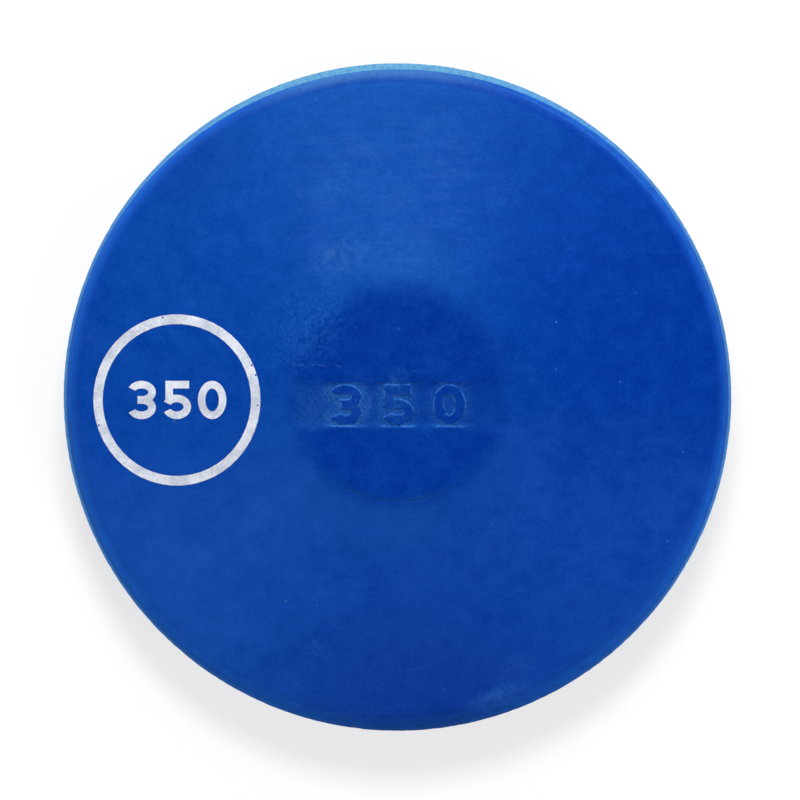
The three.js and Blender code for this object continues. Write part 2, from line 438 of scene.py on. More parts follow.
# Dark blue of grime, also used for painted shade at the bottom of the face.
grime_and_shade_blue = (0.0030, 0.0060, 0.160, 1)
speck_white = (0.17, 0.42, 0.78, 1)

middle_grain = (0.005, 6, 0.8)
middle_raggedness = 0.0090
lower_raggedness_share = 0.2
upper_range = (-0.004, 0.014)
middle_edge_start = flat_radius - 0.0014
middle_edge_end = flat_radius + 0.0030
upper_edge_start_shift = -0.0008
upper_edge_end_shift = 0.0034
cloud_grain = (0.016, 6, 0.65)
cloud_spread = (0.30, 0.70, 0.75, 1.25)
inner_bloom_range = (0.024, 0.042, 1.0, 0.0)
left_sheen_range = (-0.06, 0.03, 1.0, 0.0)
low_sheen_range = (-0.012, 0.022, 1.0, 0.0)
low_sheen_grain = (0.022, 4, 0.6)
low_sheen_drift = 0.030


def vector_calc(tree, operation, *values):
    """The outputs of one sum on vectors or colours: the result, or under "Value" a length."""
    inputs = dict(enumerate(values))
    return add_node(tree, "ShaderNodeVectorMath", inputs, operation=operation).outputs


def film(tree, share, tint, colour):
    """Lays a thin film over a colour: adds the tint in the share given."""
    return vector_calc(tree, "MULTIPLY_ADD", share, tint, colour)[0]


def blotches(tree, where, grain, spread):
    return ramp(tree, noise(tree, where, *grain), *spread)


def blue_with_bloom_and_sheen(tree, place, x, y, length, cloud):
    """The rubber's blue, darker on the level middle. Off it lies a cloudy bloom, thicker inwards, and
    films of painted sheen to the left and below. The middle's edge is more ragged in its upper half."""
    upper = ramp(tree, y, *upper_range)
    ragged = calc(tree, "SUBTRACT", noise(tree, place, *middle_grain), 0.5)
    share = calc(tree, "MULTIPLY_ADD", upper, 1 - lower_raggedness_share, lower_raggedness_share)
    radius = calc(tree, "ADD", length, product(tree, ragged, middle_raggedness, share))
    edge_start = calc(tree, "MULTIPLY_ADD", upper, upper_edge_start_shift, middle_edge_start)
    edge_end = calc(tree, "MULTIPLY_ADD", upper, upper_edge_end_shift, middle_edge_end)
    on_flat = ramp(tree, radius, edge_start, edge_end, 1.0, 0.0)
    off_flat = calc(tree, "SUBTRACT", 1.0, on_flat)
    colour = mix(tree, on_flat, flank_blue, flat_blue)
    drift = noise(tree, place, *low_sheen_grain)
    uneven_y = calc(tree, "MULTIPLY_ADD", drift, low_sheen_drift, y)
    # Bloom inwards, and films of painted sheen to the left and below.
    for where, bloom_and_sheen_range, tint in (
        (length, inner_bloom_range, inner_bloom),
        (x, left_sheen_range, left_sheen_film),
        (uneven_y, low_sheen_range, low_sheen_film),
    ):
        share = product(tree, ramp(tree, where, *bloom_and_sheen_range), off_flat, cloud)
        colour = film(tree, share, tint, colour)
    return colour


fine_grain = (0.0007, 4, 0.95)
blotch_grain = (0.0045, 4, 0.7)
blotch_weight = 0.7
streak_grain = (0.0016, 4, 0.6)
streak_spread = (0.35, 0.70)
streak_squeeze = (0.12, 1, 1)
streak_low_range = (0.020, 0.034)
streak_high_range = (0.078, 0.054)
streak_side_range = (0.008, 0.036, 1.0, 0.0)
streak_break_grain = (0.007, 4, 0.7)
streak_break_spread = (0.35, 0.60, 0.3, 1.2)


def grained(tree, place, grain, colour):
    """Mottles the colour finely and in blotches, as much lighter as darker."""
    coarse = noise(tree, place, *blotch_grain)
    both = calc(tree, "MULTIPLY_ADD", coarse, blotch_weight, grain)
    uneven = calc(tree, "SUBTRACT", both, (1 + blotch_weight) / 2)
    return film(tree, uneven, grain_tint, colour)


def streaked_and_lit(tree, place, x, y, colour):
    """Draws faint level streaks over the flank above the number, a film that also paints the top lamp's
    highlight there.
    """
    drawn = add_node(tree, "ShaderNodeMapping", {"Vector": place, "Scale": streak_squeeze}).outputs[0]
    streaks = blotches(tree, drawn, streak_grain, streak_spread)
    above = product(tree, ramp(tree, y, *streak_low_range), ramp(tree, y, *streak_high_range))
    beside = ramp(tree, calc(tree, "ABSOLUTE", x), *streak_side_range)
    broken = blotches(tree, place, streak_break_grain, streak_break_spread)
    return film(tree, product(tree, streaks, above, beside, broken), streak_and_highlight_tint, colour)


patch_edge = (0.2, 1.0)
patch_texture = (5, 0.7)
patch_contrast = 0.4
speck_gap = 0.0035
speck_size_range = (0.03, 0.08, 1.0, 0.0)
speck_chance = (0.80, 1.0)
speck_amount = 0.30


def own_frame(tree, where, start, turn, width, height):
    """Coordinates counted from a start, turned, and in widths and heights."""
    values = {"Vector": where, "Location": start, "Rotation": (0, 0, turn), "Scale": (width, height, 1)}
    return add_node(tree, "ShaderNodeMapping", values, vector_type="TEXTURE").outputs[0]


def patch_share(tree, place, x, y, width, height, turn, amount, size=0.004, sparse=0.3):
    """A soft oval patch on the face, broken up by noise whose blotches are about size across."""
    local = own_frame(tree, place, (x, y, parting_height), turn, width / 2, height / 2)
    level = vector_calc(tree, "MULTIPLY", local, (1, 1, 0))[0]
    length = vector_calc(tree, "LENGTH", level)["Value"]
    soft = ramp(tree, length, *patch_edge, amount, 0.0)
    spread = (sparse, sparse + patch_contrast, 0.0, 1.0)
    return product(tree, soft, blotches(tree, place, (size, *patch_texture), spread))


def scattered(tree, values, size_range, chances, **settings):
    """Spots in the cells of a Voronoi pattern, in only some of them."""
    cells = add_node(tree, "ShaderNodeTexVoronoi", values, **settings).outputs
    near = ramp(tree, cells["Distance"], *size_range)
    chance = add_node(tree, "ShaderNodeSeparateColor", {"Color": cells["Color"]}).outputs[0]
    return product(tree, near, ramp(tree, chance, *chances))


def specked(tree, place, colour):
    specks = scattered(tree, {"Vector": place, "Scale": 1 / speck_gap}, speck_size_range, speck_chance)
    return mix(tree, product(tree, specks, speck_amount), colour, speck_white)


wobble_size = 0.01
wobble_reach = 0.002
hairline_size_range = (0.05, 0.11, 1.0, 0.0)
hairline_zone = (-0.020, -0.055, 0.2, 1.0)
hairline_amount = 0.06
# Each way of the hairlines: turn, length and gap of its cells, and the share that hold one.
hairline_ways = [(0.12, 0.040, 0.0020, 0.45), (-0.85, 0.034, 0.0026, 0.30)]
stroke_side_range = (0.2, 0.6, 1.0, 0.0)
stroke_end_range = (0.35, 0.5)
stroke_grain = (0.0012, 3, 0.7)
stroke_spread = (0.42, 0.60)


def hairlines(tree, place, turn, length, gap, share):
    """Fine scratches that run about the same way, thin ovals a fifth as long as their cells."""
    values = {"Vector": own_frame(tree, place, (0, 0, 0), turn, length, gap), "Scale": 1.0}
    chances = (1.0 - share, 1.0)
    return scattered(tree, values, hairline_size_range, chances, voronoi_dimensions="2D")


def stroke_share(tree, place, start, end, width, amount):
    """A single scratch from start to end, each given as x and y on the face."""
    run_x, run_y = end[0] - start[0], end[1] - start[1]
    turn, length = math.atan2(run_y, run_x), math.hypot(run_x, run_y)
    local = own_frame(tree, place, (*start, 0), turn, length, width)
    along, across, _ = add_node(tree, "ShaderNodeSeparateXYZ", {"Vector": local}).outputs
    side = ramp(tree, calc(tree, "ABSOLUTE", across), *stroke_side_range)
    off_middle = calc(tree, "ABSOLUTE", calc(tree, "SUBTRACT", along, 0.5))
    return product(tree, side, ramp(tree, off_middle, *stroke_end_range, amount, 0.0))


def scratched(tree, place, y, strokes, colour):
    """Adds hairlines, mostly low on the face, and the single scratches, all bent a little."""
    values = {"Vector": place, "Scale": 1 / wobble_size}
    wobble = add_node(tree, "ShaderNodeTexNoise", values).outputs[1]
    bent = vector_calc(tree, "MULTIPLY_ADD", wobble, (wobble_reach,) * 3, place)[0]
    lower = ramp(tree, y, *hairline_zone)
    for way in hairline_ways:
        lines = product(tree, hairlines(tree, bent, *way), lower, hairline_amount)
        colour = mix(tree, lines, colour, chalk_and_highlight_blue)
    faint = blotches(tree, place, stroke_grain, stroke_spread)
    for stroke in strokes:
        colour = mix(tree, product(tree, stroke_share(tree, bent, *stroke), faint), colour, chalk_and_highlight_blue)
    return colour


# The marks that a mesh's attributes hold, with the colour, grain and spread of each.
marks = {
    "dust": (dust_grey, (0.0006, 3, 0.7), (0.35, 0.65, 0.3, 1.4)),
    "grime": (grime_green, (0.003, 4, 0.7), (0.36, 0.60, 0.3, 1.0)),
    # Painted light on the rim, lifting its shade.
    "rim_light": (rim_light_blue, (0.003, 5, 0.75), (0.3, 0.7, 0.70, 1.25)),
    # Residue lines round the relief, with painted light on its walls.
    "outlined_and_lit": (chalk_and_highlight_blue, (0.0014, 5, 0.8), (0.42, 0.58, 0.0, 1.1)),
    # Pale cut rubber, and painted highlight.
    "worn_and_lit": (worn_and_highlight_blue, (0.0007, 3, 0.7), (0.30, 0.62, 0.60, 1.0)),
}
dull_rim_range = (flank_end + 0.0011, flank_end + 0.0029)
dull_bend_start = (flat_radius - corner_run, flat_radius, 0.0, 0.35)
dull_bend_end = (flat_radius + 0.0006, flat_radius + 0.0034, 1.0, 0.0)
least_roughness = 0.39
dulled_roughness = 0.50
cloud_roughness = 0.03
rubber_specular = 0.29
rubber_specular_tint = (0.090, 0.51, 1.0, 1)
wave_grain = (0.006, 2, 0.5)
fine_grain_height = 0.5
residue_height = 6.0
skin_relief = 0.0001
skin_strength = 0.3


def rubber_material(name, patches, strokes):
    """Moulded blue rubber: satin, with a faint bloom, painted sheen, fine grain, dust, specks and
    scratches.
    The mesh says in its attributes where each of the marks lies, painted light and highlights among
    them."""
    material, tree, shader, place = new_material(name)
    x, y, _ = add_node(tree, "ShaderNodeSeparateXYZ", {"Vector": place}).outputs
    level = add_node(tree, "ShaderNodeCombineXYZ", {"X": x, "Y": y}).outputs[0]
    length = vector_calc(tree, "LENGTH", level)["Value"]
    cloud = blotches(tree, place, cloud_grain, cloud_spread)
    grain = noise(tree, place, *fine_grain)

    colour = blue_with_bloom_and_sheen(tree, place, x, y, length, cloud)
    colour = grained(tree, place, grain, colour)
    colour = streaked_and_lit(tree, place, x, y, colour)
    for stain, *patch in patches:
        colour = mix(tree, patch_share(tree, place, *patch), colour, stain)
    colour = specked(tree, place, colour)
    colour = scratched(tree, place, y, strokes, colour)
    marked, broken = {}, {}
    for mark, (stain, mark_grain, spread) in marks.items():
        marked[mark] = add_node(tree, "ShaderNodeAttribute", attribute_name=mark).outputs["Fac"]
        broken[mark] = product(tree, marked[mark], blotches(tree, place, mark_grain, spread))
        colour = mix(tree, broken[mark], colour, stain)
    tree.links.new(colour, shader.inputs["Base Color"])

    dull_bend = product(tree, ramp(tree, length, *dull_bend_start), ramp(tree, length, *dull_bend_end))
    dull_place = calc(tree, "MAXIMUM", ramp(tree, length, *dull_rim_range), dull_bend)
    dull_mark = calc(tree, "MAXIMUM", marked["dust"], marked["worn_and_lit"])
    dulled = calc(tree, "MAXIMUM", dull_mark, dull_place)
    roughness = calc(tree, "MULTIPLY_ADD", dulled, dulled_roughness, least_roughness)
    roughness = calc(tree, "MULTIPLY_ADD", cloud, cloud_roughness, roughness)
    tree.links.new(roughness, shader.inputs["Roughness"])
    shader.inputs["Specular IOR Level"].default_value = rubber_specular
    shader.inputs["Specular Tint"].default_value = rubber_specular_tint
    skin = calc(tree, "MULTIPLY_ADD", grain, fine_grain_height, noise(tree, place, *wave_grain))
    skin = calc(tree, "MULTIPLY_ADD", broken["dust"], residue_height, skin)
    tree.links.new(bump(tree, skin, skin_strength, skin_relief), shader.inputs["Normal"])
    return material


# A patch is a colour, x, y, width, height, turn and amount, and may add its blotches' size and
# how sparse they are. A stroke is its start, end, width and amount.
back_patches = [
    (speck_white, 0.030, 0.030, 0.020, 0.012, 0.7, 0.03),
    (speck_white, -0.038, -0.020, 0.026, 0.016, 2.2, 0.03),
    (grime_and_shade_blue, 0.010, 0.058, 0.060, 0.026, 0.1, 0.25),
]
back_strokes = [
    ((-0.020, 0.045), (0.004, 0.052), 0.0004, 0.30),
    ((0.020, -0.048), (0.038, -0.035), 0.0004, 0.30),
]
back_rubber = rubber_material("blue rubber, back", back_patches, back_strokes)
back_mesh = turn_cover("back_cover_skin", -1, True, back_rubber)
back_mesh.set_sharp_from_angle(angle=back_sharp_angle)
# Pale cut rubber on the lip, and a painted highlight on the rim's shoulder.
store(back_mesh, "worn_and_lit", rim_wear_and_highlight(points_of(back_mesh)))
# The rim's painted light, lifting its shade.
store(back_mesh, "rim_light", rim_painted_light(points_of(back_mesh)))
back_cover = show("back_cover_skin", back_mesh)
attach(back_cover, "root")
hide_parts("back_cover")


# Front cover
# The upper half of the skin. Its level middle carries the number: a plate set into the mould
# leaves a sunk panel, and the figures stand in it up to the level of the face.

panel_width = 0.0458
panel_height = 0.0094
panel_depth = 0.0003
panel_drop = 0.0017
panel_corner = 0.0004
figure_height = 0.0089
figure_width = 0.0070
figure_stroke = 0.0022
figure_space = 0.0044
bowl_end = 155
oval_halves = (-100, 80)
oval_half_sweep = 200
three_tongue_share = 0.14
five_bowl_share = 0.32
five_left_share = 0.4
five_top_share = 0.43
five_foot_share = 0.01
outline_steps = 28


def band(centre_y, half_x, half_y, stroke, start, end):
    """Outline of part of an oval line, such as a figure's bowl, between two angles in degrees."""
    angles = np.linspace(math.radians(start), math.radians(end), outline_steps + 1)
    outer = [(half_x * math.cos(a), centre_y + half_y * math.sin(a)) for a in angles]
    inner_x, inner_y = half_x - stroke, half_y - stroke
    inner = [(inner_x * math.cos(a), centre_y + inner_y * math.sin(a)) for a in angles[::-1]]
    return outer + inner


def bar(left, bottom, right, top):
    return [(left, bottom), (right, bottom), (right, top), (left, top)]


def whole_oval(half_x, half_y, stroke):
    """An oval line as two halves that overlap."""
    return [band(0, half_x, half_y, stroke, start, start + oval_half_sweep) for start in oval_halves]


def figure_three(height, width, stroke):
    tall, middle = (height + stroke) / 4, (height - stroke) / 4
    return [
        band(middle, width / 2, tall, stroke, -90, bowl_end),
        band(-middle, width / 2, tall, stroke, -bowl_end, 90),
        bar(-width * three_tongue_share, -stroke / 2, stroke / 2, stroke / 2),
    ]


def figure_five(height, width, stroke):
    tall, left, top = height * five_bowl_share, -width * five_left_share, height / 2
    return [
        band(tall - top, width / 2, tall, stroke, -bowl_end, bowl_end),
        bar(left, -height * five_foot_share, left + stroke, top),
        bar(left, top - stroke, width * five_top_share, top),
    ]


def figure_zero(height, width, stroke):
    return whole_oval(width / 2, height / 2, stroke)


figures = (figure_three, figure_five, figure_zero)


def number_outlines(height, width, stroke, space):
    """The outlines of each figure of the number, in their places about the middle."""
    placed = []
    for place, figure in enumerate(figures):
        shift = (place - (len(figures) - 1) / 2) * (width + space)
        outlines = figure(height, width, stroke)
        placed.append([[(x + shift, y) for x, y in outline] for outline in outlines])
    return placed


def outline_distance(points, outline):
    """Distance of flat points to an outline, below zero inside it."""
    starts = np.array(outline)
    runs = np.roll(starts, -1, axis=0) - starts
    nearest = np.full(len(points), np.inf)
    inside = np.zeros(len(points), bool)
    for (ax, ay), (dx, dy) in zip(starts, runs):
        x, y = points[:, 0] - ax, points[:, 1] - ay
        share = np.clip((x * dx + y * dy) / (dx * dx + dy * dy), 0, 1)
        nearest = np.minimum(nearest, np.hypot(x - share * dx, y - share * dy))
        if dy:
            inside ^= ((y < 0) != (y < dy)) & (x < y * dx / dy)
    return np.where(inside, -nearest, nearest)


def nearest_distance(points, outlines):
    return np.min([outline_distance(points, outline) for outline in outlines], axis=0)


def panel_distance(points):
    """Distance to the panel's round-cornered edge, below zero inside it."""
    across = np.abs(points[:, 0]) - panel_width / 2 + panel_corner
    up = np.abs(points[:, 1] + panel_drop) - panel_height / 2 + panel_corner
    outside = np.hypot(np.maximum(across, 0), np.maximum(up, 0))
    return outside + np.minimum(np.maximum(across, up), 0) - panel_corner


number = number_outlines(figure_height, figure_width, figure_stroke, figure_space)
moulded_number = [[(x, y - panel_drop) for x, y in outline] for outline in sum(number, [])]

wall_run = 0.00036
edge_run = 0.0006
faded_run = 0.0036
wall_line_gap = wall_run / 6
wall_zone = 0.00024
fine_step = 0.00007
open_step = 0.0008
faded_step = 0.0003
plain_half = 0.0206
plain_radius = 0.0208
plain_rings = (0.0242, 0.0237, 0.0224, 0.0219, 0.0213)
seam_radius = 0.0231
seam_depth = 0.00006
seam_width = 0.00012
seam_side_rings = 3
seam_ring_share = 0.8
seam_least = 0.06
seam_foot_range = (0.70, 0.98)
axis_clearance = 0.001
keep_inside = 1
join_distance = 1e-7
middle_weld_distance = 2e-6
front_sharp_angle = math.radians(60)


def wall_distance(points):
    """Distance to the nearest wall of the relief, below zero in its sunk part."""
    return np.maximum(panel_distance(points), -nearest_distance(points, moulded_number))


def sunk_share(points):
    """1 on the panel's floor and 0 on the face and the figures. The panel's own edge is soft, and
    fades away further from the figures."""
    apart = nearest_distance(points, moulded_number)
    run = edge_run + (faded_run - edge_run) * soft_step(apart, edge_run, faded_run)
    in_panel = soft_step(-panel_distance(points), -run / 2, run / 2)
    return in_panel * soft_step(apart, -wall_run / 2, wall_run / 2)


def grid_points(half_x, half_y, step):
    xs = np.arange(-half_x, half_x + step / 2, step)
    ys = np.arange(-half_y, half_y + step / 2, step)
    return np.array([(x, y) for x in xs for y in ys])


def ring_points(radius, steps):
    angles = np.arange(steps) * 2 * math.pi / steps
    return np.stack([radius * np.cos(angles), radius * np.sin(angles)], axis=1)


def wall_points():
    """Points along the relief's walls, moved on to lines that follow them, for clean edges."""
    points = grid_points(panel_width / 2 + wall_zone, panel_height / 2 + wall_zone, fine_step)
    points -= (0, panel_drop)
    apart = wall_distance(points)
    points, apart = points[np.abs(apart) < wall_zone], apart[np.abs(apart) < wall_zone]
    nudge = fine_step / 50
    # The way in which the distance to the wall grows
    way = np.stack([
        wall_distance(points + (nudge, 0)) - wall_distance(points - (nudge, 0)),
        wall_distance(points + (0, nudge)) - wall_distance(points - (0, nudge)),
    ], axis=1)
    way /= np.maximum(np.hypot(way[:, 0], way[:, 1]), nudge / 10)[:, None]
    return points + way * (np.round(apart / wall_line_gap) * wall_line_gap - apart)[:, None]


def middle_points():
    """Flat points over the middle of the face: rings at its seam, and few where it is plain."""
    outer = [ring_points(middle_radius, round_steps)]
    seam_offsets = np.arange(-seam_side_rings, seam_side_rings + 1) * seam_width * seam_ring_share
    inner = [ring_points(seam_radius + offset, round_steps) for offset in seam_offsets]
    inner += [ring_points(radius, round_steps // 2) for radius in plain_rings]
    plain = grid_points(plain_half, plain_half, open_step)
    plain = plain[np.hypot(plain[:, 0], plain[:, 1]) < plain_radius]
    inner.append(plain[np.abs(panel_distance(plain)) > faded_run / 2])
    faded = grid_points(seam_radius - open_step, panel_height / 2 + faded_run / 2, faded_step)
    faded -= (0, panel_drop)
    inner.append(faded[np.abs(panel_distance(faded)) < faded_run / 2])
    inner = np.concatenate(inner)
    inner = inner[np.hypot(inner[:, 0], inner[:, 1]) < middle_radius - open_step / 4]
    clear = np.abs(wall_distance(inner)) > wall_zone + fine_step
    return np.concatenate([*outer, wall_points(), inner[clear]])


def seam_share(points, radius, width):
    """The line that the mould's insert leaves round the level middle, clearest at its foot."""
    reach = np.hypot(points[:, 0], points[:, 1])
    down = soft_step(-points[:, 1] / np.maximum(reach, axis_clearance), *seam_foot_range)
    return np.exp(-((reach - radius) / width) ** 2) * (seam_least + (1 - seam_least) * down)


def front_mesh(material):
    """The turned surface with the middle of the face put in, as one closed mesh."""
    turned = turn_cover("front_cover_skin", 1, False, material)
    border = list(range(round_steps))
    flat_points = [Vector(point) for point in middle_points()]
    corners, _, faces, *_ = delaunay_2d_cdt(flat_points, [], [border], keep_inside, join_distance)
    where = np.array([tuple(corner) for corner in corners])
    height = parting_height + face_height(np.hypot(where[:, 0], where[:, 1]))
    height -= panel_depth * sunk_share(where)
    height -= seam_depth * seam_share(where, seam_radius, seam_width)
    made = bmesh.new()
    made.from_mesh(turned)
    made.faces.ensure_lookup_table()
    slot = made.faces[0].material_index
    corners = [made.verts.new((x, y, z)) for (x, y), z in zip(where, height)]
    for face in faces:
        added = made.faces.new([corners[i] for i in face])
        added.material_index = slot
        added.smooth = True
    bmesh.ops.remove_doubles(made, verts=made.verts, dist=middle_weld_distance)
    made.to_mesh(turned)
    made.free()
    return turned


panel_zone_depth = panel_depth * 1.5
least_dust = 0.06
figure_dust = 0.14
figure_dust_range = (0.0024, 0.0004)
right_dust_share = 0.6
left_dust_gain = 0.8
left_dust_range = (0.004, -0.016)
foot_range = (-0.0034, -0.0045)
figure_line_width = wall_run * 0.40
figure_line_amount = 0.52
figure_line_foot_highlight = 0.25
edge_line_width = edge_run * 0.24
edge_line_range = (0.0022, 0.0006)
edge_line_amount = 0.42
edge_line_foot_highlight = 0.32
seam_grime_width = 0.0006
seam_grime_radius = seam_radius - 0.0004
seam_grime_height = 0.01
seam_grime_amount = 0.45


def dress_front(mesh):
    """Marks the mesh with its wear, the rim's painted light, the residue in the sunk panel, the pale
    lines round the relief, which also paint light on its walls, and the grime in its seam.
    """
    points = points_of(mesh)
    across = np.abs(points[:, 0]) - panel_width / 2
    up = np.abs(points[:, 1] + panel_drop) - panel_height / 2
    middle = (np.maximum(across, up) < faded_run) & (points[:, 2] > face_top - panel_zone_depth)
    flat_points = points[middle, :2]
    apart = nearest_distance(flat_points, moulded_number)
    edge = panel_distance(flat_points)
    leftward = soft_step(flat_points[:, 0], *left_dust_range)
    between = least_dust + figure_dust * soft_step(apart, *figure_dust_range)
    dust, outlined_and_lit = np.zeros(len(points)), np.zeros(len(points))
    dust[middle] = sunk_share(flat_points) * between * (right_dust_share + left_dust_gain * leftward)
    foot = soft_step(flat_points[:, 1] + panel_drop, *foot_range)
    # Residue lines along the relief's walls, plus painted light that lifts the walls' shade and a
    # painted highlight along their foot.
    figure_line = np.exp(-(apart / figure_line_width) ** 2)
    figure_line *= figure_line_amount + figure_line_foot_highlight * foot
    edge_line = np.exp(-(edge / edge_line_width) ** 2) * soft_step(apart, *edge_line_range)
    edge_line *= edge_line_amount + edge_line_foot_highlight * foot
    outlined_and_lit[middle] = np.maximum(figure_line * (edge < edge_run), edge_line)
    store(mesh, "dust", dust)
    store(mesh, "outlined_and_lit", outlined_and_lit)
    # Pale cut rubber on the lip, and a painted highlight on the rim's shoulder.
    store(mesh, "worn_and_lit", rim_wear_and_highlight(points))
    # The rim's painted light, lifting its shade.
    store(mesh, "rim_light", rim_painted_light(points))
    on_face = points[:, 2] > parting_height + seam_grime_height
    grime = seam_share(points, seam_grime_radius, seam_grime_width)
    store(mesh, "grime", grime * on_face * seam_grime_amount)


haze_blue = (0.006, 0.078, 0.420, 1)
front_patches = [
    # Painted highlight: the first three patches paint the top lamp's highlight over the flank just above
    # the middle.
    (worn_and_highlight_blue, 0.000, 0.0305, 0.040, 0.013, 0.0, 0.030, 0.0030, 0.36),
    (worn_and_highlight_blue, -0.0130, 0.0310, 0.022, 0.012, 0.3, 0.105, 0.0018, 0.36),
    (worn_and_highlight_blue, -0.0150, 0.0455, 0.026, 0.009, 0.1, 0.045, 0.0030, 0.34),
    (haze_blue, -0.0168, 0.0155, 0.015, 0.027, -0.65, 0.75, 0.0014, 0.32),
    (speck_white, -0.0205, 0.0150, 0.020, 0.030, -0.4, 0.100, 0.0007, 0.45),
    (speck_white, -0.0120, -0.0017, 0.026, 0.011, 0.0, 0.400, 0.0005, 0.47),
    (dust_grey, 0.0000, 0.0002, 0.009, 0.019, 0.0, 0.240, 0.0016, 0.34),
    (speck_white, -0.0490, 0.0350, 0.022, 0.016, 0.5, 0.030, 0.0008, 0.45),
    (speck_white, -0.0666, 0.0125, 0.008, 0.012, 0.2, 0.025, 0.004, 0.30),
    # Painted shade: this patch darkens the bottom of the face.
    (grime_and_shade_blue, 0.002, -0.071, 0.090, 0.062, 0.0, 0.24, 0.004, 0.10),
    (grime_and_shade_blue, -0.043, 0.051, 0.036, 0.020, 0.7, 0.16, 0.004, 0.10),
    (chalk_and_highlight_blue, 0.0225, -0.0660, 0.020, 0.0065, 0.36, 0.30, 0.0020, 0.30),
    (speck_white, 0.0270, -0.0590, 0.012, 0.007, 0.5, 0.03, 0.0020, 0.35),
]
front_strokes = [
    ((-0.0235, 0.0079), (-0.0105, 0.0077), 0.0004, 0.22),
    ((-0.0010, 0.0068), (0.0120, 0.0066), 0.0003, 0.10),
    ((-0.0180, -0.0520), (-0.0155, -0.0575), 0.0003, 0.20),
    ((-0.0110, -0.0690), (0.0020, -0.0685), 0.0003, 0.14),
    ((-0.0400, -0.0590), (-0.0240, -0.0645), 0.0004, 0.12),
    ((0.0010, 0.0165), (0.0018, 0.0155), 0.0003, 0.25),
]
front_rubber = rubber_material("blue rubber, front", front_patches, front_strokes)
front_skin = front_mesh(front_rubber)
front_skin.set_sharp_from_angle(angle=front_sharp_angle)
dress_front(front_skin)
front_cover = show("front_cover_skin", front_skin)
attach(front_cover, "root")
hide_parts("front_cover")


# Print
# A ring and the number are stamped on the left flank in one pull of pearly white ink. The film
# stands a few hundredths of a millimetre proud, a little grainy, and nicked where it was rubbed.

ring_low, ring_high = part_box("printed_ring")
ring_centre = (ring_low + ring_high) / 2
ring_radius = (ring_high.y - ring_low.y) / 2
ring_line = 0.0021
printed_width = 0.0064
printed_height = 0.0084
printed_stroke = 0.00167
printed_space = 0.00154
ink_rise = 0.00004
ink_root = 0.00003
ink_fill_step = 0.0005
ink_sharp_angle = math.radians(35)
ink_dull = (0.50, 0.56, 0.67, 1)
ink_bright = (0.83, 0.88, 0.97, 1)
ink_grain = (0.0004, 3, 0.7)
ink_cloud_grain = (0.004, 2, 0.5)
ink_cloud_share = 0.5
ink_range = (0.35, 0.65)
ink_roughness = 0.5
ink_grain_strength = 0.2
nick_size = 0.0006
nick_core_share = 0.7
nick_grain = (0.0005, 3, 0.7)
nicks = [(-0.0320, 0.0070), (-0.0311, 0.0048), (-0.0307, -0.0018), (-0.0657, -0.0062), (-0.0516, 0.0175)]


def ink_material():
    material, tree, shader, place = new_material("white ink")
    grain = noise(tree, place, *ink_grain)
    cloudy = noise(tree, place, *ink_cloud_grain)
    shade = calc(tree, "MULTIPLY", grain, 1 - ink_cloud_share)
    shade = calc(tree, "MULTIPLY_ADD", cloudy, ink_cloud_share, shade)
    colour = mix(tree, ramp(tree, shade, *ink_range), ink_dull, ink_bright)
    ragged = noise(tree, place, *nick_grain)
    nick_range = (nick_size * nick_core_share, nick_size, 1.0, 0.0)
    for x, y in nicks:
        spot = (x, y, parting_height + float(face_height(math.hypot(x, y))))
        apart = vector_calc(tree, "DISTANCE", place, spot)["Value"]
        apart = calc(tree, "MULTIPLY_ADD", ragged, nick_size, apart)
        colour = mix(tree, ramp(tree, apart, *nick_range), colour, flank_blue)
    tree.links.new(colour, shader.inputs["Base Color"])
    shader.inputs["Roughness"].default_value = ink_roughness
    tree.links.new(bump(tree, grain, ink_grain_strength, ink_rise), shader.inputs["Normal"])
    return material


white_ink = ink_material()


def ink_film(name, outlines, node):
    """A thin closed film over some outlines, laid on the flank and narrowed by its slope."""
    corners = np.concatenate([np.array(outline) for outline in outlines])
    faces, first = [], 0
    for outline in outlines:
        faces.append(list(range(first, first + len(outline))))
        first += len(outline)
    half_x, half_y = np.abs(corners).max(axis=0)
    filling = grid_points(half_x, half_y, ink_fill_step)
    filling = filling[nearest_distance(filling, outlines) < -ink_fill_step / 3]
    flat_points = [Vector(point) for point in np.concatenate([corners, filling])]
    found, _, triangles, *_ = delaunay_2d_cdt(flat_points, [], faces, keep_inside, join_distance)
    where = np.array([tuple(point) for point in found])
    middles = np.array([where[list(face)].mean(axis=0) for face in triangles])
    inked = nearest_distance(middles, outlines) < 0
    inked_faces = [face for face, wanted in zip(triangles, inked) if wanted]
    x = ring_centre.x + where[:, 0] * math.cos(slope)
    y = ring_centre.y + where[:, 1]
    surface = parting_height + face_height(np.hypot(x, y))
    made = bmesh.new()
    upper = [made.verts.new(point) for point in zip(x, y, surface + ink_rise)]
    lower = [made.verts.new(point) for point in zip(x, y, surface - ink_root)]
    made.verts.index_update()
    # An edge that two faces share cancels out, so what is left is the film's border
    sides = {}
    for face in inked_faces:
        made.faces.new([upper[i] for i in face]).smooth = True
        made.faces.new([lower[i] for i in reversed(face)]).smooth = True
        for a, b in zip(face, (*face[1:], face[0])):
            if sides.pop((b, a), None) is None:
                sides[a, b] = True
    for a, b in sides:
        made.faces.new([upper[b], upper[a], lower[a], lower[b]])
    loose = [corner for corner in made.verts if not corner.link_faces]
    bmesh.ops.delete(made, geom=loose, context="VERTS")
    mesh = bpy.data.meshes.new(name)
    made.to_mesh(mesh)
    made.free()
    mesh.set_sharp_from_angle(angle=ink_sharp_angle)
    mesh.materials.append(white_ink)
    print_film = show(name, mesh)
    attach(print_film, "root")
    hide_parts(node)


